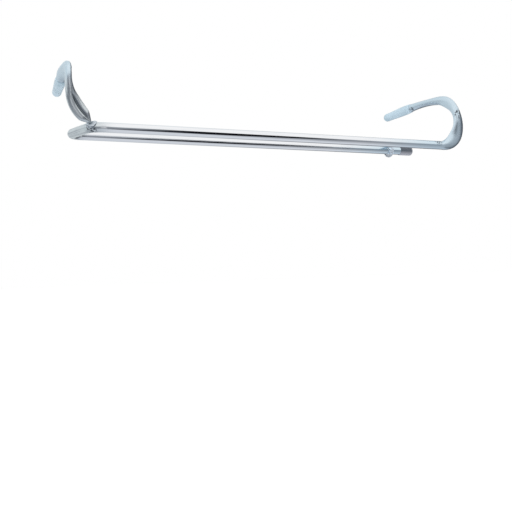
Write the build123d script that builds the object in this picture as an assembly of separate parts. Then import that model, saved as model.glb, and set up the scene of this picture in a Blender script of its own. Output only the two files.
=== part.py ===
from build123d import *
import math
import os

# Rack of round rod that hangs from a shelf by two hooks. Lengths are in millimetres, angles in degrees.
# +X runs along the rails towards their open end, +Y runs back over the shelf, +Z is up.
# The origin is midway between the hooks, above the front rail, level with the underside of the arms.

# Rod stock and the two rails
rod_diameter = 6.4
front_run = 269.0
rear_run = 276.5
rail_spacing = 48.0
corner_radius = 9.0

# Hooks: the right one is the end of the front rail, the left one stands on the front corner
hook_rise = 37.6
right_rise_radius = 17.2
left_top_radius = 7.5
foot_turn = 45.0
foot_elevation = 45.0
toe_in = 10.0
arm_length = 54.0
arm_sag_radius = 150.0

# Ovals that the press left in the hooks, of the same section area as the round rod: wide in the plane of the
# rise, round again at one station, and from there on wide in the plane of the top bend
right_rise_width = 11.6
right_top_width = 8.4
left_rise_width = 9.2
left_top_width = 9.8

# Sections along each kind of bend, and the one of each hook where the rod is round between its two ovals
corner_sections = 9
right_rise_sections = 10
right_top_sections = 9
left_rise_sections = 16
left_top_sections = 10
arm_sections = 3
left_round_station = 10
right_round_station = right_rise_sections + 3

# Weld lump round the foot of the left hook
weld_leg = 1.6
weld_height = 2.4
weld_lap = 0.15
weld_sink = 0.6

# Dipped soft tips on the arms
tip_wall = 0.5
tip_length = 26.0
nose_steps = 2

# Cap pushed on the free end of the rear rail
end_cap_wall = 0.4
end_cap_length = 10.8
end_cap_floor = 1.2
end_cap_bevel = 1.0

# Stop ring near the open end of the rear rail
ring_depth = 2.6
ring_width = 2.4
ring_bevel = 0.8
ring_inset = 20.9

quarter_turn = 90.0
rod_radius = rod_diameter / 2
rail_level = rod_radius - hook_rise
corner_x = -front_run / 2
rear_end_x = corner_x + rear_run

ALONG = Vector(1, 0, 0)
BACK = Vector(0, 1, 0)
UP = Vector(0, 0, 1)
SEATED = (Align.CENTER, Align.CENTER, Align.MIN)


def turned(heading, towards, angle):
    """Heading after a turn of so many degrees towards a direction square to it."""
    turn = math.radians(angle)
    return heading * math.cos(turn) + towards * math.sin(turn)


class Bend:
    """One bend of the rod: where it starts, the way it heads, the side it turns to and how far."""

    def __init__(self, start, heading, towards, radius, angle, sections):
        self.start = start
        self.heading = heading
        self.towards = towards
        self.radius = radius
        self.angle = angle
        self.sections = sections

    def point(self, angle):
        """Point of the centre line after so many degrees of the bend."""
        turn = math.radians(angle)
        return self.start + (self.heading * math.sin(turn) + self.towards * (1 - math.cos(turn))) * self.radius

    def heading_at(self, angle):
        """Way the rod heads after so many degrees of the bend."""
        return turned(self.heading, self.towards, angle)

    def inward_at(self, angle):
        """Direction of the centre of the bend, seen from the rod after so many degrees."""
        return turned(self.towards, self.heading * -1, angle)

    def length(self):
        """Length of the centre line."""
        return self.radius * math.radians(self.angle)

    def end(self):
        """Point where the bend ends."""
        return self.point(self.angle)

    def end_heading(self):
        """Way the rod heads when it leaves the bend."""
        return self.heading_at(self.angle)


def swell(share):
    """Smooth swelling from nothing at 0 to one half way and back to nothing at 1."""
    return math.sin(math.pi * share) ** 2 if 0 < share < 1 else 0


class Hook:
    """One hook, from its rise over the top bend and along its arm; side is 1 at the right and -1 at the left."""

    def __init__(self, side, rise, top_radius, top_sections, rise_width, top_width, round_station):
        way = turned(BACK, ALONG * -side, toe_in)
        sag_angle = math.degrees((arm_length - tip_length) / arm_sag_radius)
        self.rise = rise
        self.top = Bend(rise.end(), UP, way, top_radius, quarter_turn, top_sections)
        self.arm = Bend(self.top.end(), way, UP * -1, arm_sag_radius, sag_angle, arm_sections)
        self.inner_side = turned(ALONG * -side, BACK * -1, toe_in)
        self.rise_width = rise_width
        self.top_width = top_width
        self.round_station = round_station

    def stations(self):
        """Distance along the rod, bend and angle of each section."""
        passed = 0
        stations = [(passed, self.rise, 0)]
        for bend in (self.rise, self.top, self.arm):
            for step in range(1, bend.sections + 1):
                share = step / bend.sections
                stations.append((passed + share * bend.length(), bend, share * bend.angle))
            passed += bend.length()
        return stations

    def rise_oval(self, bend, angle, spread):
        """Section that is wide in the plane of the rise."""
        wide_way = bend.inward_at(angle) if bend is self.rise else self.inner_side
        plane = Plane(origin=bend.point(angle), x_dir=wide_way, z_dir=bend.heading_at(angle))
        return plane * Ellipse(rod_radius * spread, rod_radius / spread)

    def top_oval(self, bend, angle, spread):
        """Section that is wide in the plane of the top bend."""
        wide_way = BACK if bend is self.rise else bend.inward_at(angle)
        plane = Plane(origin=bend.point(angle), x_dir=wide_way, z_dir=bend.heading_at(angle))
        return plane * Ellipse(rod_radius * spread, rod_radius / spread)

    def rod(self):
        """Rod from the start of the rise to the far end of the arm, which is straight where its tip sits."""
        stations = self.stations()
        change = stations[self.round_station][0]
        top_press = self.rise.length() + self.top.length() - change
        lower = []
        for distance, bend, angle in stations[:self.round_station + 1]:
            spread = 1 + (self.rise_width / rod_diameter - 1) * swell(distance / change)
            lower.append(self.rise_oval(bend, angle, spread))
        upper = []
        for distance, bend, angle in stations[self.round_station:]:
            spread = 1 + (self.top_width / rod_diameter - 1) * swell((distance - change) / top_press)
            upper.append(self.top_oval(bend, angle, spread))
        end = straight_rod(self.arm.end(), self.arm.end() + self.tip_heading() * tip_length)
        return loft(lower, ruled=True) + loft(upper, ruled=True) + end

    def tip_heading(self):
        """Way the arm's straight end points."""
        return self.arm.end_heading()


def straight_rod(start, end):
    """Round rod from one point to another."""
    return extrude(Plane(origin=start, z_dir=end - start) * Circle(rod_radius), amount=(end - start).length)


def bent_rod(bend):
    """Round rod ruled from section to section through a bend."""
    angles = [bend.angle * step / bend.sections for step in range(bend.sections + 1)]
    return loft([Plane(origin=bend.point(angle), x_dir=bend.inward_at(angle), z_dir=bend.heading_at(angle))
                 * Circle(rod_radius) for angle in angles], ruled=True)


# Rail rod: rear rail, closed end and front rail, as one rod whose front end rises into the right hook
rear_end = Vector(rear_end_x, rail_spacing, rail_level)
rear_corner = Bend(Vector(corner_x, rail_spacing, rail_level), ALONG * -1, BACK * -1,
                   corner_radius, quarter_turn, corner_sections)
closed_end = rear_corner.end() - BACK * (rail_spacing - 2 * corner_radius)
front_corner = Bend(closed_end, BACK * -1, ALONG, corner_radius, quarter_turn, corner_sections)
right_rise = Bend(front_corner.end() + ALONG * front_run, ALONG, UP, right_rise_radius, quarter_turn,
                  right_rise_sections)
right_hook = Hook(1, right_rise, hook_rise - right_rise_radius, right_top_sections,
                  right_rise_width, right_top_width, right_round_station)

# Left hook: a second rod whose foot is cut level and stands on top of the front corner
foot_slant = math.radians(foot_elevation)
foot_heading = turned(ALONG * -1, UP, foot_elevation)
rail_axis_point = front_corner.point(quarter_turn - foot_turn)
foot_seat = rail_axis_point + foot_heading * (rod_radius / math.sin(foot_slant))
foot_heel = rod_radius / math.tan(foot_slant)
stub_length = foot_heel + weld_height
left_rise_radius = ((hook_rise - rod_radius - left_top_radius - stub_length * math.sin(foot_slant))
                    / math.cos(foot_slant))
left_rise = Bend(foot_seat + foot_heading * stub_length, foot_heading, turned(UP, ALONG, foot_elevation),
                 left_rise_radius, quarter_turn - foot_elevation, left_rise_sections)
left_hook = Hook(-1, left_rise, left_top_radius, left_top_sections,
                 left_rise_width, left_top_width, left_round_station)


def make_rail_rod():
    """Both rails, the closed end between them and the hook at the right, bent from one rod."""
    rear_rail = straight_rod(rear_end, rear_corner.start) + bent_rod(rear_corner)
    front_rail = bent_rod(front_corner) + straight_rod(front_corner.end(), right_rise.start)
    rails = rear_rail + straight_rod(rear_corner.end(), front_corner.start) + front_rail
    return rails + right_hook.rod()


def make_left_rod():
    """Second rod: foot cut level to stand on the rail rod, then the rise, top bend and arm."""
    foot = straight_rod(foot_seat - foot_heading * foot_heel, left_rise.start)
    return split(foot, bisect_by=Plane(origin=foot_seat, z_dir=UP)) + left_hook.rod()


def make_foot_weld(rail_rod, left_rod):
    """Tapered lump of weld metal round the foot, seated on both rods."""
    low = rail_axis_point + foot_heading * weld_sink
    high = left_rise.start
    lump = loft([Plane(origin=low, z_dir=foot_heading) * Circle(rod_radius + weld_leg),
                 Plane(origin=high, z_dir=foot_heading) * Circle(rod_radius + weld_lap)])
    return lump - rail_rod - left_rod


def round_nose(radius):
    """Round nose of a tip, turned in a few straight steps."""
    turns = [math.radians(quarter_turn * step / nose_steps) for step in range(nose_steps + 1)]
    outline = Polyline([(radius * math.cos(turn), radius * math.sin(turn)) for turn in turns] + [(0, 0)], close=True)
    return revolve(Plane.XZ * make_face(outline), Axis.Z)


def make_arm_tip(hook):
    """Soft closed sleeve over the straight end of an arm, with a round nose."""
    tip_radius = rod_radius + tip_wall
    sleeve = Cylinder(tip_radius, tip_length, align=SEATED) - Cylinder(rod_radius, tip_length, align=SEATED)
    seat = Plane(origin=hook.arm.end(), z_dir=hook.tip_heading())
    return seat * (sleeve + Pos(0, 0, tip_length) * round_nose(tip_radius))


def rear_rail_plane(inset):
    """Plane across the rear rail, facing its free end and so far in from it."""
    return Plane(origin=(rear_end_x - inset, rail_spacing, rail_level), z_dir=ALONG)


def make_rear_end_cap():
    """Thin cup pushed over the free end of the rear rail."""
    cup = Cylinder(rod_radius + end_cap_wall, end_cap_length + end_cap_floor, align=SEATED)
    cup = chamfer(cup.edges().sort_by(Axis.Z)[-1], end_cap_bevel)
    return rear_rail_plane(end_cap_length) * (cup - Cylinder(rod_radius, end_cap_length, align=SEATED))


def make_stop_ring():
    """Ring with a bevelled rim, fitted round the rear rail."""
    ring = Cylinder(rod_radius + ring_depth, ring_width)
    ring = chamfer(ring.edges(), ring_bevel) - Cylinder(rod_radius, ring_width)
    return rear_rail_plane(ring_inset) * ring


def main():
    """Builds each piece and writes it to its own STEP file."""
    rail_rod = make_rail_rod()
    left_rod = make_left_rod()
    pieces = {
        "rail_rod": rail_rod,
        "left_hook": left_rod,
        "left_hook_weld": make_foot_weld(rail_rod, left_rod),
        "left_arm_tip": make_arm_tip(left_hook),
        "right_arm_tip": make_arm_tip(right_hook),
        "rear_rail_cap": make_rear_end_cap(),
        "stop_ring": make_stop_ring(),
    }
    os.makedirs("parts", exist_ok=True)
    for name, piece in pieces.items():
        export_step(piece, f"parts/{name}.step")
        print(name, "solids", len(piece.solids()), "volume", round(piece.volume, 1), "valid", piece.is_valid)


main()
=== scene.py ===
import logging
import math
from dataclasses import dataclass, field, fields
from enum import Enum
from functools import reduce
from typing import Callable, Sequence

import bmesh
import bpy
from mathutils import Matrix, Vector


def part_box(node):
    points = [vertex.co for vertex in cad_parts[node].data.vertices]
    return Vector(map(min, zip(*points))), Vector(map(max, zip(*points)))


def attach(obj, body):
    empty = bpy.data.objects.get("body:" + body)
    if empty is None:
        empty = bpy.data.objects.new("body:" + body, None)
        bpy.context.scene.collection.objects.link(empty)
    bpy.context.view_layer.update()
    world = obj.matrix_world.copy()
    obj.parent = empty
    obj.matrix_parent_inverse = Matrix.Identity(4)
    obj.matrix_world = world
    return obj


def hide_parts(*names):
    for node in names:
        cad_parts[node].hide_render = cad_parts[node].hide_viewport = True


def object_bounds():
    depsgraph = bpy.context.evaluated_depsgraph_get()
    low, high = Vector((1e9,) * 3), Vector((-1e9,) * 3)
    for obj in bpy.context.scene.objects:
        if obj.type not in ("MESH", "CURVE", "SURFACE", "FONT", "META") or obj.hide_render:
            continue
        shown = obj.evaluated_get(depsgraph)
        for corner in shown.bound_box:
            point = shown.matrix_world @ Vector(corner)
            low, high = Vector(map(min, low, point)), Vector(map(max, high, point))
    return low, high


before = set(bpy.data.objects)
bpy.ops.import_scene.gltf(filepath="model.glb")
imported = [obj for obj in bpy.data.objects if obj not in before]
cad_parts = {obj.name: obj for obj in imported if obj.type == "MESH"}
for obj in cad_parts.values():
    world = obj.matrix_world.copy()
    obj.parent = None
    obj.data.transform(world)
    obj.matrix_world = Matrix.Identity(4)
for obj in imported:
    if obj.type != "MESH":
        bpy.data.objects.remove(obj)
CAD_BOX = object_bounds()

# A rack of round chromed rod that hangs from a shelf by two hooks. Lengths are in metres, angles in degrees.
# +X runs along the rails towards their open end, +Y runs back over the shelf, +Z is up.

MM = 0.001
ROOT = "root"
ALONG = Vector((1, 0, 0))
BACK = Vector((0, 1, 0))
UP = Vector((0, 0, 1))
QUARTER = 90.0
MERGE_DISTANCE = 1e-7

# An Edge is the value at which a mask is 0 and the value at which it is 1. Limits are lowest and highest.
Colour = tuple[float, float, float]
Edge = tuple[float, float]
Limits = tuple[float, float]
WHITE: Colour = (1.0, 1.0, 1.0)
log = logging.getLogger("rack")


class Slot(Enum):
    """Material slots of the record."""

    ROD = "rod_chrome"
    WELD = "weld_chrome"
    TIP = "tip_vinyl"
    CAP = "end_cap_plastic"
    RING = "ring_plastic"


def mix(low: float, high: float, share: float) -> float:
    """Value that lies a share of the way from low to high."""
    return low + (high - low) * share


def eased(share: float) -> float:
    """Share that starts and ends slowly."""
    return share * share * (3 - 2 * share)


def turned(heading: Vector, towards: Vector, angle: float) -> Vector:
    """Unit heading after a turn of so many degrees towards a unit direction square to it."""
    turn = math.radians(angle)
    return heading * math.cos(turn) + towards * math.sin(turn)


def swell(share: float, power: float) -> float:
    """Swelling from nothing at 0 to one half way and back to nothing at 1."""
    return math.sin(math.pi * share) ** power if 0 < share < 1 else 0.0


def added(name: str, data: bpy.types.ID) -> bpy.types.Object:
    """Object of a mesh, lamp or camera, put in the scene.

    Args:
        name: name of the object.
        data: its mesh, lamp or camera.

    Returns:
        The object.
    """
    thing = bpy.data.objects.new(name, data)
    bpy.context.scene.collection.objects.link(thing)
    return thing


# Node trees


@dataclass(frozen=True)
class Signal:
    """A node's output that takes part in Python arithmetic by adding Math nodes."""

    tree: "Tree"
    socket: bpy.types.NodeSocket

    def output(self, key: str) -> "Signal":
        """Another output of the same node."""
        return Signal(self.tree, Tree.find(self.socket.node.outputs, key))

    def maths(self, operation: str, *others: "Signal | float") -> "Signal":
        """Result of a Math node, from its operation and the operands after this one."""
        sockets = dict(enumerate((self, *others)))
        return self.tree.node("ShaderNodeMath", {"operation": operation}, sockets)

    def __add__(self, other: "Signal | float") -> "Signal":
        """Sum."""
        return self.maths("ADD", other)

    def __sub__(self, other: "Signal | float") -> "Signal":
        """Difference."""
        return self.maths("SUBTRACT", other)

    def __mul__(self, other: "Signal | float") -> "Signal":
        """Product."""
        return self.maths("MULTIPLY", other)

    def __truediv__(self, other: "Signal | float") -> "Signal":
        """Quotient."""
        return self.maths("DIVIDE", other)

    def __pow__(self, other: "Signal | float") -> "Signal":
        """Power."""
        return self.maths("POWER", other)

    def __rsub__(self, other: float) -> "Signal":
        """Number less this signal."""
        return self * -1.0 + other

    __radd__ = __add__
    __rmul__ = __mul__

    def step(self, edge: Edge) -> "Signal":
        """Mask with a smooth edge.

        Args:
            edge: the values at which the mask is 0 and 1.

        Returns:
            The mask.
        """
        settings = {"interpolation_type": "SMOOTHSTEP"}
        sockets = {"Value": self, "From Min": edge[0], "From Max": edge[1]}
        return self.tree.node("ShaderNodeMapRange", settings, sockets)

    def above(self, other: "Signal") -> "Signal":
        """The larger of two signals."""
        return self.maths("MAXIMUM", other)


class Tree:
    """A node tree, shader or geometry, that is filled by one method."""

    def __init__(self, tree: bpy.types.NodeTree) -> None:
        """Empties the tree and holds it."""
        self.tree = tree
        tree.nodes.clear()

    def node(self, kind: str, settings: dict | None = None, sockets: dict | None = None,
             output: str | int = 0) -> Signal:
        """Adds a node.

        Args:
            kind: the node's type.
            settings: properties, set first; "stops" is a ramp's list of (place, colour).
            sockets: value or signal for each input, by identifier, name or number.
            output: name, identifier or number of the output to return.

        Returns:
            The output, or the node's first input where it has no output.
        """
        node = self.tree.nodes.new(kind)
        for name, value in (settings or {}).items():
            if name == "stops":
                self._stops(node.color_ramp, value)
            else:
                setattr(node, name, value)
        for key, value in (sockets or {}).items():
            socket = self.find(node.inputs, key)
            if isinstance(value, Signal):
                self.tree.links.new(value.socket, socket)
            else:
                socket.default_value = value
        found = self.find(node.outputs, output) if node.outputs else node.inputs[0]
        return Signal(self, found)

    @staticmethod
    def _stops(ramp: bpy.types.ColorRamp, stops: Sequence[tuple[float, Colour]]) -> None:
        """Sets a ramp's stops.

        Args:
            ramp: the ramp.
            stops: place and colour of each stop, in order.
        """
        while len(ramp.elements) < len(stops):
            ramp.elements.new(1.0)
        for element, (place, colour) in zip(ramp.elements, stops):
            element.position = place
            element.color = (*colour, 1.0)

    @staticmethod
    def find(sockets: Sequence[bpy.types.NodeSocket], key: str | int) -> bpy.types.NodeSocket:
        """Finds one of a node's sockets.

        Args:
            sockets: the node's inputs or outputs.
            key: number, identifier or name of the socket.

        Returns:
            The socket.
        """
        if isinstance(key, int):
            return sockets[key]
        for socket in sockets:
            if socket.identifier == key:
                return socket
        return next(socket for socket in sockets if socket.name == key and socket.enabled)

    def part(self, vector: Signal, axis: str) -> Signal:
        """One coordinate of a vector, by its letter."""
        return self.node("ShaderNodeSeparateXYZ", {}, {0: vector}, axis)

    def blend(self, factor: Signal, low: Signal | Colour, high: Signal | Colour) -> Signal:
        """Blends two colours.

        Args:
            factor: share of the second colour.
            low: the first colour.
            high: the second colour.

        Returns:
            The colour between them.
        """
        ends = [value if isinstance(value, Signal) else (*value, 1.0) for value in (low, high)]
        sockets = {"Factor_Float": factor, "A_Color": ends[0], "B_Color": ends[1]}
        return self.node("ShaderNodeMix", {"data_type": "RGBA"}, sockets, "Result_Color")

    def bump(self, height: Signal, distance: float, below: Signal | None = None) -> Signal:
        """Tilts the normal by a height field.

        Args:
            height: the field, from 0 to 1.
            distance: depth that 1 stands for.
            below: the normal that is tilted, where it isn't the surface's own.

        Returns:
            The new normal.
        """
        sockets = {"Height": height, "Distance": distance, "Strength": 1.0}
        if below is not None:
            sockets["Normal"] = below
        return self.node("ShaderNodeBump", {}, sockets, "Normal")


# Finishes


@dataclass(frozen=True)
class Grain:
    """Noise of one size, with its detail and how rough that detail is."""

    size: float
    detail: float = 2.0
    harshness: float = 0.5

    def over(self, place: Signal) -> Signal:
        """The noise over a place, from 0 to 1."""
        sockets = {"Vector": place, "Scale": 1 / self.size,
                   "Detail": self.detail, "Roughness": self.harshness}
        return place.tree.node("ShaderNodeTexNoise", {"noise_dimensions": "3D"}, sockets, "Fac")


@dataclass(frozen=True)
class Mark:
    """Patch of the plating that the press or the welder left rough, whole as far as its core."""

    place: Vector
    reach: float
    core: float = 0.5

    def mask(self, place: Signal) -> Signal:
        """Mask of the patch, 1 in the core and 0 from the reach outwards."""
        away = place.tree.node("ShaderNodeVectorMath", {"operation": "DISTANCE"},
                               {0: place, 1: self.place}, "Value")
        return away.step((self.reach, self.reach * self.core))


def new_material(name: str) -> tuple[bpy.types.Material, Tree]:
    """Makes a material.

    Args:
        name: the material's name.

    Returns:
        The material and its empty tree.
    """
    material = bpy.data.materials.new(name)
    material.use_nodes = True
    return material, Tree(material.node_tree)


class Finish:
    """A principled shader whose inputs each finish works out from the place on the piece."""

    name: str

    def inputs(self, place: Signal) -> dict[str, Signal | float]:
        """Inputs of the shader, by name, at a place on the piece."""
        raise NotImplementedError

    def material(self) -> bpy.types.Material:
        """Builds the material.

        Returns:
            The material, named for its slot.
        """
        material, tree = new_material(self.name)
        place = tree.node("ShaderNodeTexCoord", output="Object")
        shader = tree.node("ShaderNodeBsdfPrincipled", {}, self.inputs(place))
        tree.node("ShaderNodeOutputMaterial", {}, {"Surface": shader})
        return material


@dataclass(frozen=True)
class ChromeFinish(Finish):
    """Bright plating with fine lines, smudges and tool marks, with a painted cool reflection at the right
    and on top at the left, a painted grey reflection on the lower part at the left and painted shade in the
    press groove.

    The drawn lines dull the plating everywhere and carry dark streaks, painted as reflection, on the lower
    bends at the left.
    """

    marks: tuple[Mark, ...]
    name: str = Slot.ROD.value
    plating: Colour = (0.88, 0.89, 0.91)
    # The next two colours are painted reflection: a cool tint at the right and on top at the left, a grey
    # tint on the lower part at the left.
    cool_plating: Colour = (0.64, 0.76, 0.84)
    grey_plating: Colour = (0.64, 0.69, 0.71)
    dull: Colour = (0.60, 0.63, 0.68)
    # Colour of dark streaks painted as reflection on the lower bends at the left.
    streak: Colour = (0.22, 0.23, 0.27)
    # Colour of the painted shade in the press groove.
    groove_painted_shade: Colour = (0.10, 0.12, 0.14)
    speck: Colour = (0.05, 0.06, 0.08)
    # Edges of the painted reflection tints: along X at the right, up Z and along X at the left.
    cool_right: Edge = (0.055, 0.130)
    painted_cool_up: Edge = (-0.014, -0.002)
    grey_left: Edge = (0.128, 0.146)
    pressed: Edge = (0.128, 0.142)
    pressed_roughness: float = 0.22
    polish: float = 0.05
    line_pitch: float = 0.75 * MM
    line_length: float = 60 * MM
    lines: Grain = Grain(1.0, 3.0, 0.6)
    line_edge: Edge = (0.50, 0.75)
    line_dullness: float = 0.45
    line_rough_edge: Edge = (0.45, 0.80)
    line_roughness: float = 0.08
    line_depth: float = 0.010 * MM
    # Edge and strength of the dark streaks painted as reflection.
    painted_streak_edge: Edge = (0.50, 0.58)
    painted_streak_strength: float = 0.42
    smudges: Grain = Grain(18 * MM, 4.0, 0.55)
    smudge_edge: Edge = (0.52, 0.74)
    smudge_dullness: float = 0.10
    smudge_roughness: float = 0.10
    specks: Grain = Grain(1.1 * MM, 2.0, 0.7)
    speck_depth: float = 0.12 * MM
    pit_edge: Edge = (0.50, 0.56)
    pit_darkness: float = 0.9
    pit_roughness: float = 0.3
    # Edge and strength of the painted shade in the groove.
    groove_edge: Edge = (0.06, 0.36)
    groove_shade_strength: float = 0.8

    def inputs(self, place: Signal) -> dict[str, Signal | float]:
        """Works out the shader's inputs.

        Args:
            place: place on the rod.

        Returns:
            The inputs by name.
        """
        tree = place.tree
        rod = tree.node("ShaderNodeAttribute", {"attribute_name": "rod_space"}, {}, "Vector")
        dip = tree.node("ShaderNodeAttribute", {"attribute_name": "dip"}, {}, "Fac")
        fine = (1 / self.line_pitch, 1 / self.line_pitch, 1 / self.line_length)
        drawn = tree.node("ShaderNodeVectorMath", {"operation": "MULTIPLY"}, {0: rod, 1: fine})
        lines = self.lines.over(drawn)
        smudges = self.smudges.over(place).step(self.smudge_edge)
        specks = self.specks.over(place)
        marked = reduce(Signal.above, [mark.mask(place) for mark in self.marks])
        pits = specks.step(self.pit_edge) * marked
        along = tree.part(place, "X")
        # Masks of the painted reflection: grey on the lower part at the left, a cool tint on top there and
        # at the right.
        left = (along * -1.0).step(self.grey_left)
        upper = tree.part(place, "Z").step(self.painted_cool_up)
        painted_lower_left = left * (1 - upper)
        cool = along.step(self.cool_right).above(left * upper)
        dullness = lines.step(self.line_edge) * self.line_dullness + smudges * self.smudge_dullness
        # Dark streaks on the drawn-line pattern, painted as reflection, laid only on the lower part at the
        # left.
        streaks = lines.step(self.painted_streak_edge) * self.painted_streak_strength
        # Plating tinted by the painted reflection, then dulled, with dark streaks painted as reflection,
        # painted shade in the groove and pits.
        colour = tree.blend(cool, self.plating, self.cool_plating)
        for share, layer in ((painted_lower_left, self.grey_plating), (dullness, self.dull),
                             (streaks * painted_lower_left, self.streak),
                             # Painted shade, darker where the groove dips deeper.
                             (dip.step(self.groove_edge) * self.groove_shade_strength, self.groove_painted_shade),
                             (pits * self.pit_darkness, self.speck)):
            colour = tree.blend(share, colour, layer)
        rough = lines.step(self.line_rough_edge) * self.line_roughness + smudges * self.smudge_roughness
        rough = rough + along.maths("ABSOLUTE").step(self.pressed) * self.pressed_roughness
        rough = rough + pits * self.pit_roughness + self.polish
        normal = tree.bump(specks * marked, self.speck_depth, tree.bump(lines, self.line_depth))
        return {"Base Color": colour, "Metallic": 1.0, "Roughness": rough, "Normal": normal}


@dataclass(frozen=True)
class WeldFinish(Finish):
    """Plating over a rough weld: specks, pits and a duller, uneven shine."""

    name: str = Slot.WELD.value
    plating: Colour = (0.58, 0.63, 0.68)
    pit: Colour = (0.06, 0.07, 0.09)
    cell_size: float = 0.7 * MM
    cell_edge: Edge = (0.42, 0.18)
    ripples: Grain = Grain(2.2 * MM, 3.0)
    ripple_edge: Edge = (0.38, 0.52)
    ripple_height: float = 0.6
    depth: float = 0.10 * MM
    roughness: float = 0.16
    pit_roughness: float = 0.35

    def inputs(self, place: Signal) -> dict[str, Signal | float]:
        """Works out the shader's inputs.

        Args:
            place: place on the weld.

        Returns:
            The inputs by name.
        """
        tree = place.tree
        sockets = {"Vector": place, "Scale": 1 / self.cell_size}
        cells = tree.node("ShaderNodeTexVoronoi", {"feature": "F1"}, sockets, "Distance")
        ripples = self.ripples.over(place)
        pits = cells.step(self.cell_edge) * ripples.step(self.ripple_edge)
        return {"Base Color": tree.blend(pits, self.plating, self.pit), "Metallic": 1.0,
                "Roughness": pits * self.pit_roughness + self.roughness,
                "Normal": tree.bump(cells + ripples * self.ripple_height, self.depth)}


@dataclass(frozen=True)
class VinylFinish(Finish):
    """Soft dipped vinyl, pale blue, milky, a little deeper in colour where the dip ran thick."""

    name: str = Slot.TIP.value
    thin: Colour = (0.47, 0.59, 0.66)
    thick: Colour = (0.36, 0.48, 0.54)
    runs: Grain = Grain(11 * MM, 3.0)
    run_edge: Edge = (0.35, 0.68)
    skin: Grain = Grain(3 * MM)
    skin_depth: float = 0.05 * MM
    roughness: float = 0.20
    uneven: float = 0.16
    refraction: float = 1.45
    coat: float = 0.2
    coat_roughness: float = 0.12

    def inputs(self, place: Signal) -> dict[str, Signal | float]:
        """Works out the shader's inputs.

        Args:
            place: place on the tip.

        Returns:
            The inputs by name.
        """
        runs = self.runs.over(place)
        return {"Base Color": place.tree.blend(runs.step(self.run_edge), self.thin, self.thick),
                "Roughness": runs * self.uneven + self.roughness, "IOR": self.refraction,
                "Coat Weight": self.coat, "Coat Roughness": self.coat_roughness,
                "Normal": place.tree.bump(self.skin.over(place), self.skin_depth)}


@dataclass(frozen=True)
class CapFinish(Finish):
    """Dark grey moulded plastic with a violet cast and a satin skin, paler at its end, and paler underneath
    as a painted reflection.
    """

    name: str = Slot.CAP.value
    skin: Colour = (0.055, 0.068, 0.085)
    # Pale colour of the worn end, also laid underneath as a painted reflection.
    wear_and_painted_reflection: Colour = (0.38, 0.38, 0.42)
    grain: Grain = Grain(0.28 * MM, 3.0)
    grain_edge: Edge = (0.2, 0.5)
    grain_depth: float = 0.012 * MM
    roughness: float = 0.38
    uneven: float = 0.16
    coat: float = 0.25
    coat_roughness: float = 0.25
    end_share: float = 0.80
    end_wear: float = 0.5
    # Share of the height below which the underside is paler as a painted reflection.
    painted_underside_share: float = 0.56

    def inputs(self, place: Signal) -> dict[str, Signal | float]:
        """Works out the shader's inputs.

        Args:
            place: place on the cap.

        Returns:
            The inputs by name.
        """
        tree = place.tree
        low, high = (Vector(corner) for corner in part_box("rear_rail_cap"))
        grain = self.grain.over(place)
        end = tree.part(place, "X").step((mix(low.x, high.x, self.end_share), high.x)) * self.end_wear
        # The underside paler as a painted reflection, the end paler with wear, both speckled by the grain.
        under = tree.part(place, "Z").step((mix(low.z, high.z, self.painted_underside_share), low.z))
        wear_and_painted_reflection = under.above(end) * grain.step(self.grain_edge)
        return {"Base Color": tree.blend(wear_and_painted_reflection, self.skin, self.wear_and_painted_reflection),
                "Roughness": grain * self.uneven + self.roughness,
                "Coat Weight": self.coat, "Coat Roughness": self.coat_roughness,
                "Normal": tree.bump(grain, self.grain_depth)}


@dataclass(frozen=True)
class RingFinish(Finish):
    """Clear, slightly milky soft plastic with a haze that comes and goes."""

    name: str = Slot.RING.value
    clear: Colour = (0.80, 0.84, 0.88)
    smoke: Colour = (0.58, 0.62, 0.67)
    haze: Grain = Grain(4 * MM, 3.0)
    haze_edge: Edge = (0.35, 0.70)
    ripples: Grain = Grain(5 * MM)
    ripple_depth: float = 0.05 * MM
    roughness: float = 0.24
    uneven: float = 0.14
    through: float = 0.70
    refraction: float = 1.49

    def inputs(self, place: Signal) -> dict[str, Signal | float]:
        """Works out the shader's inputs.

        Args:
            place: place on the ring.

        Returns:
            The inputs by name.
        """
        haze = self.haze.over(place)
        return {"Base Color": place.tree.blend(haze.step(self.haze_edge), self.clear, self.smoke),
                "Roughness": haze * self.uneven + self.roughness, "IOR": self.refraction,
                "Transmission Weight": self.through,
                "Normal": place.tree.bump(self.ripples.over(place), self.ripple_depth)}


# Rods

# A Form is the width of a section across the plane of the top bend, its flat and its groove.
Form = tuple[float, float, float]
ROUND: Form = (1.0, 0.0, 0.0)


@dataclass(frozen=True)
class Section:
    """One section of a rod."""

    centre: Vector
    wide_way: Vector
    thin_way: Vector
    half_wide: float
    half_thin: float
    flat_wide: float
    flat_thin: float
    groove: float
    run: float


@dataclass(frozen=True)
class Bend:
    """One bend of a rod: where it starts, the way it heads, the side it turns to and how far."""

    start: Vector
    heading: Vector
    towards: Vector
    radius: float
    angle: float

    def point(self, angle: float) -> Vector:
        """Finds a point of the centre line.

        Args:
            angle: degrees from the bend's start.

        Returns:
            The point.
        """
        turn = math.radians(angle)
        way = self.heading * math.sin(turn) + self.towards * (1 - math.cos(turn))
        return self.start + way * self.radius

    def heading_at(self, angle: float) -> Vector:
        """Way the rod heads after so many degrees."""
        return turned(self.heading, self.towards, angle)

    def inward_at(self, angle: float) -> Vector:
        """Direction of the bend's centre after so many degrees."""
        return turned(self.towards, -self.heading, angle)

    def length(self) -> float:
        """Length of the centre line."""
        return self.radius * math.radians(self.angle)

    def end(self) -> Vector:
        """Point where the bend ends."""
        return self.point(self.angle)

    def end_heading(self) -> Vector:
        """Way the rod heads when it leaves the bend."""
        return self.heading_at(self.angle)


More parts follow.
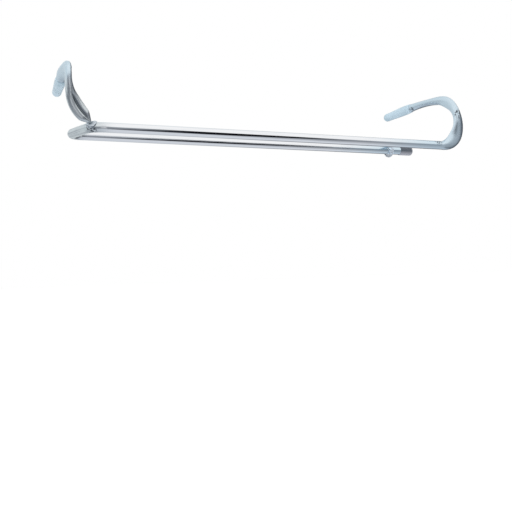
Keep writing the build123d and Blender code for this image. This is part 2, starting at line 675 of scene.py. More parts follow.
@dataclass(frozen=True)
class PressWork:
    """How hard a hook was pressed: widths against the round rod, their fall, the flats and the groove.

    Up to the change, a share of the way to the top bend's end, the rod is wide in the plane of the rise,
    then wide in the plane of the top bend, and along the arm flat on the shelf's side.
    """

    rise_spread: float
    top_spread: float
    change_share: float
    power: float
    flatness: float
    groove: float = 0.0
    groove_width: float = 1.0
    groove_place: float = 0.0
    arm_spread: float = 1.26
    full_spread: float = 1.35


@dataclass
class RodLine:
    """Sections along a rod, added run by run, one step apart in a bend and another in a straight run."""

    radius: float
    step: float
    straight_step: float
    run: float = 0.0
    sections: list[Section] = field(default_factory=list)

    def add(self, centre: Vector, heading: Vector, wide_way: Vector, form: Form = ROUND,
            radius: float | None = None) -> None:
        """Adds one section.

        Args:
            centre: point of the centre line.
            heading: way of the rod.
            wide_way: direction across the rod that its first width is measured along.
            form: what the press made of it.
            radius: radius where it isn't the rod's own.
        """
        radius = self.radius if radius is None else radius
        spread, flat, groove = form
        across = (wide_way - heading * wide_way.dot(heading)).normalized()
        if self.sections:
            self.run += (centre - self.sections[-1].centre).length
        self.sections.append(Section(
            centre=centre, wide_way=across, thin_way=heading.cross(across),
            half_wide=radius * spread, half_thin=radius / spread,
            flat_wide=1 - (flat if spread < 1 else 0), flat_thin=1 - (flat if spread > 1 else 0),
            groove=groove, run=self.run))

    def straight(self, start: Vector, end: Vector, wide_way: Vector) -> None:
        """Adds a straight run without its last section.

        Args:
            start: point where it starts.
            end: point where it ends.
            wide_way: direction of the first width.
        """
        steps = round((end - start).length / self.straight_step)
        heading = (end - start).normalized()
        for index in range(steps):
            self.add(start.lerp(end, index / steps), heading, wide_way)

    def bend(self, bend: Bend, way: Callable[[float], Vector],
             form: Callable[[float], Form] = lambda distance: ROUND) -> None:
        """Adds a bend without its last section.

        Args:
            bend: the bend.
            way: direction of the first width at each angle.
            form: form of the section at each distance from the bend's start.
        """
        steps = round(bend.length() / self.step)
        for index in range(steps):
            share = index / steps
            angle = share * bend.angle
            self.add(bend.point(angle), bend.heading_at(angle), way(angle), form(share * bend.length()))


class RodSweep:
    """Geometry Nodes tree that lays a shaped skin on a line of sections."""

    SETTINGS = {"Sides": "NodeSocketInt", "Groove Width": "NodeSocketFloat",
                "Groove Place": "NodeSocketFloat", "Finish": "NodeSocketMaterial"}

    def __init__(self) -> None:
        """Builds the tree."""
        self.group = bpy.data.node_groups.new("rod_sweep", "GeometryNodeTree")
        face = self.group.interface
        face.new_socket("Line", in_out="INPUT", socket_type="NodeSocketGeometry")
        for name, kind in self.SETTINGS.items():
            face.new_socket(name, in_out="INPUT", socket_type=kind)
        face.new_socket("Skin", in_out="OUTPUT", socket_type="NodeSocketGeometry")
        self._fill(Tree(self.group))

    def _fill(self, tree: Tree) -> None:
        """Adds the tree's nodes.

        Args:
            tree: the empty tree.
        """
        line = tree.node("NodeGroupInput", output="Line")
        sides, groove_width, groove_place, finish = (line.output(name) for name in self.SETTINGS)
        path = tree.node("GeometryNodeMeshToCurve", {}, {"Mesh": line})
        circle = tree.node("GeometryNodeCurvePrimitiveCircle", {}, {"Resolution": sides, "Radius": 1.0})
        circle = self._stored(circle, "turn", tree.node("GeometryNodeInputIndex") / sides * math.tau)
        sockets = {"Curve": path, "Profile Curve": circle, "Fill Caps": True}
        skin = tree.node("GeometryNodeCurveToMesh", {}, sockets)
        turn = self._named(tree, "turn")
        wide = self._flattened(turn.maths("COSINE"), "flat_wide")
        thin = self._flattened(turn.maths("SINE"), "flat_thin")
        ridge = ((wide - groove_place) / groove_width) ** 2.0
        dip = (ridge * -1.0).maths("EXPONENT") * self._named(tree, "groove")
        across = wide * self._named(tree, "half_wide")
        through = thin * (1 - dip) * self._named(tree, "half_thin")
        place = self._moved(self._named(tree, "centre", "FLOAT_VECTOR"), "wide_way", across)
        place = self._moved(place, "thin_way", through)
        skin = tree.node("GeometryNodeSetPosition", {}, {"Geometry": skin, "Position": place})
        space = tree.node("ShaderNodeCombineXYZ", {}, {0: across, 1: through, 2: self._named(tree, "run")})
        skin = self._stored(skin, "rod_space", space, "FLOAT_VECTOR")
        skin = self._stored(skin, "dip", dip)
        skin = tree.node("GeometryNodeSetShadeSmooth", {}, {"Geometry": skin})
        skin = tree.node("GeometryNodeRealizeInstances", {}, {"Geometry": skin})
        skin = tree.node("GeometryNodeSetMaterial", {}, {"Geometry": skin, "Material": finish})
        tree.node("NodeGroupOutput", {}, {"Skin": skin})

    @staticmethod
    def _named(tree: Tree, name: str, kind: str = "FLOAT") -> Signal:
        """Attribute of the line or the profile, by name."""
        return tree.node("GeometryNodeInputNamedAttribute", {"data_type": kind}, {"Name": name}, "Attribute")

    @staticmethod
    def _stored(shape: Signal, name: str, value: Signal, kind: str = "FLOAT") -> Signal:
        """Shape with an attribute stored on its points."""
        return shape.tree.node("GeometryNodeStoreNamedAttribute", {"data_type": kind, "domain": "POINT"},
                               {"Geometry": shape, "Name": name, "Value": value})

    @staticmethod
    def _flattened(wave: Signal, name: str) -> Signal:
        """Wave whose size is raised to a named power, its sign kept."""
        return wave.maths("ABSOLUTE") ** RodSweep._named(wave.tree, name) * wave.maths("SIGN")

    @staticmethod
    def _moved(place: Signal, way: str, by: Signal) -> Signal:
        """Place moved along a named direction by a distance."""
        step = place.tree.node("ShaderNodeVectorMath", {"operation": "SCALE"}, {
            0: RodSweep._named(place.tree, way, "FLOAT_VECTOR"), "Scale": by})
        return place.tree.node("ShaderNodeVectorMath", {"operation": "ADD"}, {0: place, 1: step})

    def skin(self, sections: Sequence[Section], sides: int, material: bpy.types.Material,
             groove_width: float = 1.0, groove_place: float = 0.0) -> bpy.types.Mesh:
        """Lays the skin on a line of sections.

        Args:
            sections: the sections in order.
            sides: points round each section.
            material: the piece's finish.
            groove_width: width of the groove as a share of the half width.
            groove_place: how far the groove lies from the middle, as the same share.

        Returns:
            The skin as a plain mesh.
        """
        line = bpy.data.meshes.new("line")
        edges = [(index, index + 1) for index in range(len(sections) - 1)]
        line.from_pydata([section.centre for section in sections], edges, [])
        for entry in fields(Section):
            kind, part = ("FLOAT_VECTOR", "vector") if entry.type is Vector else ("FLOAT", "value")
            layer = line.attributes.new(entry.name, kind, "POINT")
            for item, section in zip(layer.data, sections):
                setattr(item, part, getattr(section, entry.name))
        carrier = added("carrier", line)
        modifier = carrier.modifiers.new("sweep", "NODES")
        modifier.node_group = self.group
        values = dict(zip(self.SETTINGS, (sides, groove_width, groove_place, material)))
        for item in self.group.interface.items_tree:
            if item.in_out == "INPUT" and item.name in values:
                modifier[item.identifier] = values[item.name]
        evaluated = carrier.evaluated_get(bpy.context.evaluated_depsgraph_get())
        mesh = bpy.data.meshes.new_from_object(evaluated)
        bpy.data.objects.remove(carrier)
        return mesh


def dress(node: str, slot: Slot, mesh: bpy.types.Mesh, material: bpy.types.Material) -> None:
    """Puts a piece in the place of a CAD node and makes it ride with the rack.

    Its doubles are merged, its faces turned outwards and shaded smooth.

    Args:
        node: CAD node that it stands for.
        slot: the record's material slot of its finish; not used.
        mesh: its mesh, with places in the row frame.
        material: its finish.
    """
    work = bmesh.new()
    work.from_mesh(mesh)
    bmesh.ops.remove_doubles(work, verts=work.verts, dist=MERGE_DISTANCE)
    bmesh.ops.recalc_face_normals(work, faces=work.faces)
    if work.calc_volume(signed=True) < 0:
        bmesh.ops.reverse_faces(work, faces=work.faces)
    for face in work.faces:
        face.smooth = True
        face.material_index = 0
    work.to_mesh(mesh)
    work.free()
    mesh.name = f"{node}_skin"
    mesh.materials.clear()
    mesh.materials.append(material)
    piece = added(mesh.name, mesh)
    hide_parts(node)
    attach(piece, ROOT)
    log.info("%s: %d faces", piece.name, len(mesh.polygons))


def joined(rings: Sequence[Sequence[Vector]], closed: bool) -> bpy.types.Mesh:
    """Joins rings of points, each to the next.

    Args:
        rings: the rings in order, all with as many points, but for a ring of one point, which is a pole.
        closed: True where the last ring joins the first.

    Returns:
        The mesh.
    """
    work = bmesh.new()
    steps = max(len(ring) for ring in rings)
    loops = []
    for ring in rings:
        corners = [work.verts.new(point) for point in ring]
        loops.append(corners if len(corners) == steps else corners * steps)
    for lower, upper in zip(loops, loops[1:] + (loops[:1] if closed else [])):
        for index in range(steps):
            after = (index + 1) % steps
            corners = (lower[index], lower[after], upper[after], upper[index])
            work.faces.new(list(dict.fromkeys(corners)))
    mesh = bpy.data.meshes.new("joined")
    work.to_mesh(mesh)
    work.free()
    return mesh


def arc(centre: tuple[float, float], radius: float, start: float, end: float,
        steps: int) -> list[tuple[float, float]]:
    """Lays points on an arc in an outline's plane.

    Args:
        centre: the arc's centre.
        radius: its radius.
        start: angle of the first point.
        end: angle of the last point.
        steps: number of steps between them.

    Returns:
        The points.
    """
    angles = [math.radians(mix(start, end, index / steps)) for index in range(steps + 1)]
    return [(centre[0] + radius * math.cos(angle), centre[1] + radius * math.sin(angle)) for angle in angles]


# Pieces


@dataclass(frozen=True)
class RackSizes:
    """Driving sizes of the rack, as in the part."""

    rod_radius: float = 3.2 * MM
    front_run: float = 269 * MM
    rear_run: float = 276.5 * MM
    rail_spacing: float = 48 * MM
    corner_radius: float = 9 * MM
    hook_rise: float = 37.6 * MM
    right_rise_radius: float = 17.2 * MM
    left_top_radius: float = 7.5 * MM
    foot_turn: float = 45.0
    foot_elevation: float = 45.0
    toe_in: float = 10.0
    arm_length: float = 54 * MM
    arm_sag_radius: float = 150 * MM
    weld_height: float = 2.4 * MM
    tip_length: float = 26 * MM
    bend_step: float = 0.7 * MM
    straight_step: float = 3 * MM
    sides: int = 80

    @property
    def rail_level(self) -> float:
        """Height of the rails' centre lines."""
        return self.rod_radius - self.hook_rise

    @property
    def corner_x(self) -> float:
        """Where the corners start."""
        return -self.front_run / 2


@dataclass
class HookLine:
    """Bends of one hook and what the press made of it; the rod is thinner inside its tip.

    The side is 1 at the right and -1 at the left, and the press starts a lead ahead of the rise.
    """

    sizes: RackSizes
    side: int
    rise: Bend
    top_radius: float
    work: PressWork
    lead: float = 0.0
    hidden_steps: int = 8
    hidden_taper: float = 0.8

    def __post_init__(self) -> None:
        """Works out the bends that follow the rise."""
        way = turned(BACK, ALONG * -self.side, self.sizes.toe_in)
        sag = math.degrees((self.sizes.arm_length - self.sizes.tip_length) / self.sizes.arm_sag_radius)
        self.top = Bend(self.rise.end(), UP, way, self.top_radius, QUARTER)
        self.arm = Bend(self.top.end(), way, -UP, self.sizes.arm_sag_radius, sag)
        self.inner_side = turned(ALONG * -self.side, -BACK, self.sizes.toe_in)

    def rise_way(self, angle: float) -> Vector:
        """Direction of the first width on the rise, which turns to the top bend's over its last half."""
        share = max(0.0, 2 * angle / self.rise.angle - 1)
        return turned(self.rise.inward_at(angle), -BACK, self.sizes.toe_in * eased(share))

    def form(self, distance: float) -> Form:
        """Works out the form of a section.

        Args:
            distance: distance along the hook from the start of its rise.

        Returns:
            The form.
        """
        work = self.work
        end = self.rise.length() + self.top.length()
        change = end * work.change_share
        rise = swell((distance + self.lead) / (change + self.lead), work.power)
        top = swell((distance - change) / (end - change), work.power)
        arm = swell((distance - end) / self.arm.length(), 1.0)
        spread = 1 + (work.rise_spread - 1) * rise + (1 / work.top_spread - 1) * top
        spread += (work.arm_spread - 1) * arm
        reached = min(1.0, abs(math.log(spread)) / math.log(work.full_spread))
        return spread, work.flatness * reached, work.groove * reached if distance < change else 0.0

    def lay_on(self, line: RodLine) -> None:
        """Adds the hook's sections up to the far end of its arm.

        Args:
            line: the line that they are added to.
        """
        line.bend(self.rise, self.rise_way, self.form)
        passed = self.rise.length()
        for bend in (self.top, self.arm):
            line.bend(bend, lambda angle: self.inner_side, lambda distance: self.form(passed + distance))
            passed += bend.length()
        heading = self.arm.end_heading()
        for step in range(self.hidden_steps + 1):
            share = step / self.hidden_steps
            line.add(self.arm.end() + heading * (self.sizes.tip_length * share), heading, self.inner_side,
                     radius=self.sizes.rod_radius * mix(1.0, self.hidden_taper, share))


@dataclass(frozen=True)
class MarkPlaces:
    """Where the plating is rough: by the weld, and on the right hook's rise, its shoulder and by its tip."""

    weld_offset: Vector = Vector((-3.0, -1.2, -1.6)) * MM
    weld_reach: float = 5.0 * MM
    rise_offset: float = 4 * MM
    rise_front: float = 0.5
    rise_reach: float = 4.5 * MM
    shoulder_angle: float = 22.0
    shoulder_front: float = 0.8
    shoulder_reach: float = 5.0 * MM
    tip_share: float = 0.88
    tip_drop: float = 2 * MM
    tip_reach: float = 3.0 * MM

    def marks(self, foot: Vector, hook: HookLine) -> tuple[Mark, ...]:
        """Works out the marks.

        Args:
            foot: point of the rail's centre line under the left hook's foot.
            hook: the right hook.

        Returns:
            The marks.
        """
        radius = hook.sizes.rod_radius
        front = -BACK * radius
        rise = hook.rise.start - ALONG * self.rise_offset + UP * radius + front * self.rise_front
        shoulder = hook.top.point(self.shoulder_angle) + front * self.shoulder_front
        tip = hook.arm.point(hook.arm.angle * self.tip_share) + hook.inner_side * radius - UP * self.tip_drop
        return (Mark(foot + self.weld_offset, self.weld_reach), Mark(rise, self.rise_reach),
                Mark(shoulder, self.shoulder_reach), Mark(tip, self.tip_reach))


@dataclass
class Rods:
    """Both rods of the rack: the rail rod with the right hook, and the left hook with its tapered foot."""

    sizes: RackSizes
    sweep: RodSweep
    right_work: PressWork = PressWork(1.81, 1.31, 0.638, 1.3, 0.12)
    left_work: PressWork = PressWork(1.44, 1.53, 0.427, 0.8, 0.30, 0.50, 0.20, 0.10)
    mark_places: MarkPlaces = MarkPlaces()
    foot_taper: float = 0.66
    foot_roundness: float = 1.35
    foot_steps: int = 14
    buried_length: float = 1.2 * MM
    buried_taper: float = 0.7

    def rail_point(self, x: float, y: float) -> Vector:
        """Point at the level of the rails' centre lines."""
        return Vector((x, y, self.sizes.rail_level))

    def front_corner(self) -> Bend:
        """Corner between the closed end and the front rail."""
        radius = self.sizes.corner_radius
        return Bend(self.rail_point(self.sizes.corner_x - radius, radius), -BACK, ALONG, radius, QUARTER)

    def rear_corner(self) -> Bend:
        """Corner between the rear rail and the closed end."""
        start = self.rail_point(self.sizes.corner_x, self.sizes.rail_spacing)
        return Bend(start, -ALONG, -BACK, self.sizes.corner_radius, QUARTER)

    def right_hook(self) -> HookLine:
        """Hook at the end of the front rail."""
        start = self.rail_point(-self.sizes.corner_x, 0)
        rise = Bend(start, ALONG, UP, self.sizes.right_rise_radius, QUARTER)
        return HookLine(self.sizes, 1, rise, self.sizes.hook_rise - rise.radius, self.right_work)

    def left_hook(self) -> HookLine:
        """Works out the hook that stands on the front corner.

        Returns:
            The hook.
        """
        sizes = self.sizes
        slant = math.radians(sizes.foot_elevation)
        heading = turned(-ALONG, UP, sizes.foot_elevation)
        stub = self.left_stub()
        seat = self.foot_axis_point() + heading * (sizes.rod_radius / math.sin(slant))
        climb = sizes.hook_rise - sizes.rod_radius - sizes.left_top_radius - stub * math.sin(slant)
        rise = Bend(seat + heading * stub, heading, turned(UP, ALONG, sizes.foot_elevation),
                    climb / math.cos(slant), QUARTER - sizes.foot_elevation)
        return HookLine(sizes, -1, rise, sizes.left_top_radius, self.left_work, stub)

    def left_stub(self) -> float:
        """Length of the left hook's straight foot."""
        slant = math.radians(self.sizes.foot_elevation)
        return self.sizes.rod_radius / math.tan(slant) + self.sizes.weld_height

    def foot_radius(self, share: float) -> float:
        """Radius of the left hook's foot at a share of the way from the rise down to its seat."""
        return self.sizes.rod_radius * (1 - self.foot_taper * share ** self.foot_roundness)

    def foot_axis_point(self) -> Vector:
        """Point of the rail's centre line that the left hook's foot stands over."""
        return self.front_corner().point(QUARTER - self.sizes.foot_turn)

    def marks(self) -> tuple[Mark, ...]:
        """Rough patches of both rods."""
        return self.mark_places.marks(self.foot_axis_point(), self.right_hook())

    def new_line(self) -> RodLine:
        """Empty line of the rod's own radius."""
        return RodLine(self.sizes.rod_radius, self.sizes.bend_step, self.sizes.straight_step)

    def build_rail_rod(self, material: bpy.types.Material) -> None:
        """Builds the rear rail, closed end, front rail and right hook in one piece.

        Args:
            material: the rods' finish.
        """
        sizes = self.sizes
        line = self.new_line()
        rear, front, hook = self.rear_corner(), self.front_corner(), self.right_hook()
        rear_end = self.rail_point(sizes.corner_x + sizes.rear_run, sizes.rail_spacing)
        line.straight(rear_end, rear.start, UP)
        line.bend(rear, lambda angle: UP)
        line.straight(rear.end(), front.start, UP)
        line.bend(front, lambda angle: UP)
        line.straight(front.end(), hook.rise.start, UP)
        hook.lay_on(line)
        dress("rail_rod", Slot.ROD, self.sweep.skin(line.sections, sizes.sides, material), material)

    def build_left_hook(self, material: bpy.types.Material) -> None:
        """Builds the left hook from inside the rail rod to the far end of its arm.

        Args:
            material: the rods' finish.
        """
        line = self.new_line()
        hook = self.left_hook()
        stub = self.left_stub()
        start, heading, side = hook.rise.start, hook.rise.heading, hook.rise.towards
        buried = self.buried_taper * self.foot_radius(1.0)
        line.add(start - heading * (stub + self.buried_length), heading, side, radius=buried)
        for step in range(self.foot_steps):
            share = 1 - step / self.foot_steps
            centre = start - heading * (stub * share)
            line.add(centre, heading, side, hook.form(-stub * share), self.foot_radius(share))
        hook.lay_on(line)
        mesh = self.sweep.skin(line.sections, self.sizes.sides, material,
                               hook.work.groove_width, hook.work.groove_place)
        dress("left_hook", Slot.ROD, mesh, material)


@dataclass
class ArmTip:
    """Soft sleeve on the end of an arm: a thicker lip at its mouth, a slow taper and a round nose."""

    sizes: RackSizes
    sweep: RodSweep
    hook: HookLine
    node: str
    lip: float = 0.1 * MM
    mouth_radius: float = 3.45 * MM
    belly_radius: float = 3.75 * MM
    nose_radius: float = 3.2 * MM
    belly_place: float = 6.0 * MM
    sliver: float = 0.02 * MM
    step: float = 0.5 * MM
    nose_steps: int = 14
    sides: int = 48

    def radius_at(self, distance: float) -> float:
        """Radius of the sleeve.

        Args:
            distance: distance from its mouth.

        Returns:
            The radius there.
        """
        if distance < self.belly_place:
            share = math.sin(distance / self.belly_place * math.pi / 2)
            return mix(self.mouth_radius, self.belly_radius, share)
        share = (distance - self.belly_place) / (self.sizes.tip_length - self.belly_place)
        return mix(self.belly_radius, self.nose_radius, eased(share))

    def ring(self, line: RodLine, distance: float, radius: float) -> None:
        """Adds a round section to a line, at a distance from the mouth."""
        heading = self.hook.arm.end_heading()
        line.add(self.hook.arm.end() + heading * distance, heading, self.hook.inner_side, radius=radius)

    def build(self, material: bpy.types.Material) -> None:
        """Builds the tip on the arm's straight end.

        Args:
            material: the tip's finish.
        """
        rod_radius, length = self.sizes.rod_radius, self.sizes.tip_length
        line = RodLine(rod_radius, self.step, self.step)
        for radius in (rod_radius - self.lip, rod_radius + self.lip):
            self.ring(line, 0.0, radius)
        steps = round(length / self.step)
        for index in range(steps + 1):
            distance = length * index / steps
            self.ring(line, distance + self.sliver, self.radius_at(distance))
        for index in range(1, self.nose_steps + 1):
            angle = math.radians(QUARTER * index / self.nose_steps)
            radius = max(self.nose_radius * math.cos(angle), self.sliver)
            self.ring(line, length + self.nose_radius * math.sin(angle), radius)
        dress(self.node, Slot.TIP, self.sweep.skin(line.sections, self.sides, material), material)


@dataclass
class TurnedPiece:
    """Piece turned about the rear rail's axis, in the place of its node."""

    node: str
    slot: Slot
    steps: int

    def outline(self, length: float, radius: float) -> list[tuple[float, float]]:
        """Distance along the rail and radius of each ring, for a piece of this length and radius."""
        raise NotImplementedError

    def build(self, material: bpy.types.Material) -> None:
        """Turns the outline.

        Args:
            material: the piece's finish.
        """
        low, high = (Vector(corner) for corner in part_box(self.node))
        origin = Vector((low.x, (low.y + high.y) / 2, (low.z + high.z) / 2))
        outline = self.outline(high.x - low.x, (high.y - low.y) / 2)
        angles = [math.tau * index / self.steps for index in range(self.steps)]
        rings = []
        for distance, radius in outline:
            centre = origin + ALONG * distance
            ring = [centre + (BACK * math.cos(angle) + UP * math.sin(angle)) * radius for angle in angles]
            rings.append(ring if radius else [centre])
        dress(self.node, self.slot, joined(rings, closed=outline[0][1] > 0), material)


@dataclass
class RearCap(TurnedPiece):
    """Cup on the rear rail's free end, with a rolled mouth and a rounded end."""

    node: str = "rear_rail_cap"
    slot: Slot = Slot.CAP
    steps: int = 64
    bore: float = 3.184 * MM
    floor: float = 1.2 * MM
    mouth_roll: float = 0.35 * MM
    roll_steps: int = 5
    end_round: float = 1.3 * MM
    round_steps: int = 8
    face_share: float = 0.5

    def outline(self, length: float, radius: float) -> list[tuple[float, float]]:
        """Outline from the middle of the floor, out over the mouth and on to the middle of the end.

        Args:
            length: the cap's length.
            radius: its radius.

        Returns:
            Distance along the rail and radius of each ring.
        """
        roll, rounding = self.mouth_roll, self.end_round
        wall_end = length - self.floor
        points = [(wall_end, 0.0), (wall_end, self.bore), (0.0, self.bore)]
        points += arc((roll, radius - roll), roll, 180, 90, self.roll_steps)
        points += arc((length - rounding, radius - rounding), rounding, 90, 0, self.round_steps)
        return points + [(length, (radius - rounding) * self.face_share), (length, 0.0)]


@dataclass
class StopRing(TurnedPiece):
    """Clear ring round the rear rail with a round rim and a slight hollow in each face."""

    node: str = "stop_ring"
    slot: Slot = Slot.RING
    steps: int = 72
    bore: float = 3.2 * MM
    bore_round: float = 0.3 * MM
    bore_steps: int = 4
    rim_round: float = 1.0 * MM
    rim_steps: int = 7
    hollow: float = 0.22 * MM
    hollow_shares: tuple[float, float] = (0.3, 0.5)

    def outline(self, length: float, radius: float) -> list[tuple[float, float]]:
        """Outline from the bore up one face, over the rim and down the other face.

        Args:
            length: the ring's width.
            radius: its radius.

        Returns:
            Distance along the rail and radius of each ring of points.
        """
        foot, rim = self.bore_round, self.rim_round
        radii = [mix(self.bore, radius, share) for share in self.hollow_shares]
        points = arc((foot, self.bore + foot), foot, 270, 180, self.bore_steps)
        points += [(self.hollow, at) for at in radii]
        points += arc((rim, radius - rim), rim, 180, 90, self.rim_steps)
        points += arc((length - rim, radius - rim), rim, 90, 0, self.rim_steps)
        points += [(length - self.hollow, at) for at in reversed(radii)]
        return points + arc((length - foot, self.bore + foot), foot, 0, -90, self.bore_steps)


@dataclass
class FootWeld:
    """Weld bead where the left hook's foot meets the rail rod's corner, with ripples and lumps."""

    rods: Rods
    node: str = "left_hook_weld"
    around: int = 120
    profile: int = 9
    foot_radius: float = 1.75 * MM
    leg_up: float = 1.0 * MM
    leg_out: float = 1.8 * MM
    crown: float = 0.30 * MM
    sink: float = 0.5 * MM
    ripple: float = 0.14 * MM
    ripples: int = 19
    ripple_share: float = 0.6
    ripple_sway: float = 1.3
    sways: int = 2
    lumps: int = 5
    lump_turn: float = 2.0
    lobes: int = 3
    lobe_turn: float = 0.6
    lobe_share: float = 1.5
    probe: float = 0.05 * MM
    reach: float = 8.5 * MM

    def rail_gap(self, point: Vector) -> float:
        """Measures the gap to the rail rod near its front corner.

        Args:
            point: a point outside or inside the rod.

        Returns:
            Distance to the rod's surface, below 0 inside it.
        """
        corner = self.rods.front_corner()
        centre = corner.start + corner.towards * corner.radius
        across = math.hypot(point.x - centre.x, point.y - centre.y) - corner.radius
        if point.x > centre.x:
            across = point.y
        elif point.y > centre.y:
            across = point.x - corner.start.x
        return math.hypot(across, point.z - centre.z) - self.rods.sizes.rod_radius

    def contact(self, start: Vector, way: Vector) -> float:
        """Finds where a line meets the rail rod.

        Args:
            start: the line's start.
            way: its direction.

        Returns:
            Distance along it to where it meets the rod, or comes nearest to it.
        """
        steps = int(self.reach / self.probe)
        gaps = [self.rail_gap(start + way * (step * self.probe)) for step in range(steps)]
        met = next((step for step, gap in enumerate(gaps) if gap <= 0), gaps.index(min(gaps)))
        return met * self.probe

    def swelling(self, angle: float) -> float:
        """Height of the ripples and lumps at an angle round the foot, for a ripple of 1."""
        fine = math.sin(self.ripples * angle + self.ripple_sway * math.sin(self.sways * angle))
        lump = math.sin(self.lumps * angle + self.lump_turn) * math.sin(self.lobes * angle)
        return fine * self.ripple_share + lump

    def section(self, hook: HookLine, angle: float) -> list[Vector]:
        """Lays out the bead's section at one place round the foot.

        Args:
            hook: the left hook.
            angle: angle round its foot, in radians.

        Returns:
            The points, over the bead's face and back through its root.
        """
        top, axis, side = hook.rise.start, hook.rise.heading, hook.rise.towards
        out = side * math.cos(angle) + axis.cross(side) * math.sin(angle)
        leg = self.leg_out + self.ripple * self.lobe_share * math.sin(self.lobes * angle + self.lobe_turn)
        foot = top + out * self.foot_radius
        edge = top + out * (self.foot_radius + leg)
        meet = self.contact(foot, -axis)
        upper = foot - axis * max(meet - self.leg_up, 0.0)
        lower = edge - axis * self.contact(edge, -axis)
        root = top + out * (self.foot_radius - self.sink) - axis * (meet + self.sink)
        middle = (upper + lower) * 0.5 - root
        bulge = middle.normalized() * (self.crown + self.ripple * self.swelling(angle))
        shares = [step / self.profile for step in range(self.profile + 1)]
        face = [upper.lerp(lower, share) + bulge * math.sin(math.pi * share) for share in shares]
        return face + [lower.lerp(root, 0.5), root, upper.lerp(root, 0.5)]

    def build(self, material: bpy.types.Material) -> None:
        """Builds the weld.

        Args:
            material: the weld's finish.
        """
        hook = self.rods.left_hook()
        angles = [math.tau * index / self.around for index in range(self.around)]
        mesh = joined([self.section(hook, angle) for angle in angles], closed=True)
        dress(self.node, Slot.WELD, mesh, material)


# Studio


@dataclass(frozen=True)
class Panel:
    """Pale panel or dark screen that the metal mirrors, with soft edges.

    Its bearings are degrees from the front towards the right, its heights the upward part of a direction.
    """

    bearings: Limits
    soft_bearing: float
    heights: Limits
    soft_height: float
    colour: Colour
    strength: float = 0.9

    def laid_on(self, below: Signal, bearing: Signal, height: Signal) -> Signal:
        """Puts the panel in front of what is behind it.

        Args:
            below: colour behind it.
            bearing: bearing of each direction.
            height: height of each direction.

        Returns:
            The colour with the panel.
        """
        mask = self._within(bearing, self.bearings, self.soft_bearing)
        mask = mask * self._within(height, self.heights, self.soft_height)
        return below.tree.blend(mask * self.strength, below, self.colour)

    @staticmethod
    def _within(signal: Signal, limits: Limits, soft: float) -> Signal:
        """Mask that is 1 between two limits and falls to 0 over a soft edge outside them."""
        low, high = limits
        return signal.step((low - soft, low)) * (1 - signal.step((high, high + soft)))


@dataclass(frozen=True)
class Lamp:
    """Square lamp that faces the rack and that the metal doesn't mirror as a hard edge."""

    name: str
    place: Vector
    size: float
    power: float

    def build(self) -> None:
        """Builds the lamp."""
        light = bpy.data.lights.new(self.name, "AREA")
        light.size = self.size
        light.energy = self.power
        lamp = added(self.name, light)
        turn = self.place.to_track_quat("Z", "Y").to_matrix().to_4x4()
        lamp.matrix_world = Matrix.Translation(self.place) @ turn
        lamp.visible_glossy = False


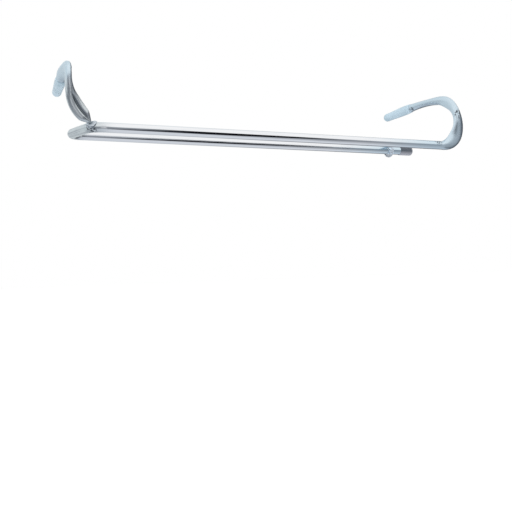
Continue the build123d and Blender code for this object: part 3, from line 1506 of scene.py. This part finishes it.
@dataclass
class Studio:
    """Pale floor, soft light and the camera that took the photograph."""

    camera_place: Vector = Vector((-0.3260, -0.5400, -0.1039))
    yaw: float = 28.85
    pitch: float = -1.170
    roll: float = -0.501
    focal_px: float = 903.46
    image_px: float = 512.0
    sensor: float = 36.0
    nearest: float = 0.01
    floor_drop: float = 0.26
    floor_size: float = 6.0
    floor_colour: Colour = (0.85, 0.86, 0.88)
    floor_glow: float = 0.62
    lamps: tuple[Lamp, ...] = (Lamp("key", Vector((-0.9, -1.1, 1.3)), 1.2, 16),
                               Lamp("fill", Vector((1.2, -0.6, 0.9)), 1.0, 7))
    room: Colour = (0.90, 0.92, 0.95)
    sky: tuple[tuple[float, Colour], ...] = (
        (0.000, (0.62, 0.65, 0.70)), (0.095, (0.72, 0.75, 0.80)), (0.20, (0.36, 0.38, 0.42)),
        (0.36, (0.27, 0.29, 0.32)), (0.50, (0.28, 0.30, 0.33)), (0.57, (0.46, 0.49, 0.53)),
        (0.65, WHITE), (1.00, WHITE))
    back: Colour = (0.80, 0.84, 0.86)
    back_edge: Edge = (0.05, 0.45)
    back_height: Edge = (-0.75, -0.35)
    back_strength: float = 0.9
    panels: tuple[Panel, ...] = (
        Panel((46, 76), 11, (-0.60, 0.20), 0.25, (0.52, 0.54, 0.57)),
        Panel((-18, 9), 6, (-0.35, 0.40), 0.20, (0.68, 0.68, 0.70)),
        Panel((74, 140), 20, (-0.45, 0.35), 0.25, (0.05, 0.055, 0.07), 0.92),
        Panel((25, 31.5), 4.5, (-0.54, 0.16), 0.08, (0.004, 0.004, 0.006), 1.0))

    def build(self) -> None:
        """Builds the world, floor, lamps and camera."""
        scene = bpy.context.scene
        scene.view_settings.view_transform = "Standard"
        self._world(scene)
        self._floor()
        for lamp in self.lamps:
            lamp.build()
        self._camera(scene)

    def _world(self, scene: bpy.types.Scene) -> None:
        """Makes a world that is white to the camera and a studio to the metal.

        The studio has a white sky, a grey horizon and floor, a pale back, pale panels and dark screens.

        Args:
            scene: the scene that gets it.
        """
        world = bpy.data.worlds.new("studio")
        scene.world = world
        world.use_nodes = True
        tree = Tree(world.node_tree)
        way = tree.node("ShaderNodeTexCoord", output="Generated")
        east, north, height = (tree.part(way, axis) for axis in "XYZ")
        bearing = east.maths("ARCTAN2", north * -1.0) * math.degrees(1)
        studio = tree.node("ShaderNodeValToRGB", {"stops": self.sky}, {0: height * 0.5 + 0.5}, "Color")
        behind = north.step(self.back_edge) * height.step(self.back_height) * self.back_strength
        studio = tree.blend(behind, studio, self.back)
        for panel in self.panels:
            studio = panel.laid_on(studio, bearing, height)
        seen = tree.node("ShaderNodeLightPath", output="Is Camera Ray")
        plain = tree.blend(seen.output("Is Glossy Ray"), self.room, studio)
        sockets = {"Color": tree.blend(seen, plain, WHITE), "Strength": 1.0}
        shade = tree.node("ShaderNodeBackground", {}, sockets)
        tree.node("ShaderNodeOutputWorld", {}, {"Surface": shade})

    def _floor(self) -> None:
        """Makes the floor under the rack, white to the camera but for the shadow."""
        half = self.floor_size / 2
        level = Vector(CAD_BOX[0]).z - self.floor_drop
        mesh = bpy.data.meshes.new("floor")
        corners = [(-half, -half, level), (half, -half, level), (half, half, level), (-half, half, level)]
        mesh.from_pydata(corners, [], [(0, 1, 2, 3)])
        material, tree = new_material("floor")
        matt = tree.node("ShaderNodeBsdfDiffuse", {}, {"Color": (*self.floor_colour, 1.0)})
        glow = tree.node("ShaderNodeEmission", {}, {"Color": (*WHITE, 1.0), "Strength": self.floor_glow})
        seen = tree.node("ShaderNodeLightPath", output="Is Camera Ray")
        lit = tree.node("ShaderNodeAddShader", {}, {0: matt, 1: glow})
        both = tree.node("ShaderNodeMixShader", {}, {0: seen, 1: matt, 2: lit})
        tree.node("ShaderNodeOutputMaterial", {}, {"Surface": both})
        mesh.materials.append(material)
        floor = added("floor", mesh)
        floor.visible_glossy = False

    def _camera(self, scene: bpy.types.Scene) -> None:
        """Sets the camera at the photograph's place, angle and field.

        Args:
            scene: the scene that gets it.
        """
        yaw, pitch, roll = (math.radians(angle) for angle in (self.yaw, self.pitch, self.roll))
        forward = Vector((math.sin(yaw) * math.cos(pitch), math.cos(yaw) * math.cos(pitch), math.sin(pitch)))
        level = forward.cross(UP).normalized()
        rise = level.cross(forward)
        right = level * math.cos(roll) + rise * math.sin(roll)
        above = rise * math.cos(roll) - level * math.sin(roll)
        data = bpy.data.cameras.new("camera")
        data.sensor_width = self.sensor
        data.lens = self.focal_px / self.image_px * self.sensor
        data.clip_start = self.nearest
        camera = added("camera", data)
        turn = Matrix((right, above, -forward)).transposed().to_4x4()
        camera.matrix_world = Matrix.Translation(self.camera_place) @ turn
        scene.camera = camera


def main() -> None:
    """Builds the rack piece by piece, then the studio."""
    logging.basicConfig(level=logging.INFO, format="%(name)s %(message)s")
    sizes = RackSizes()
    sweep = RodSweep()
    rods = Rods(sizes, sweep)
    chrome = ChromeFinish(rods.marks()).material()
    rods.build_rail_rod(chrome)
    rods.build_left_hook(chrome)
    FootWeld(rods).build(WeldFinish().material())
    vinyl = VinylFinish().material()
    ArmTip(sizes, sweep, rods.left_hook(), "left_arm_tip").build(vinyl)
    ArmTip(sizes, sweep, rods.right_hook(), "right_arm_tip").build(vinyl)
    RearCap().build(CapFinish().material())
    StopRing().build(RingFinish().material())
    Studio().build()


if __name__ == "__main__":
    main()
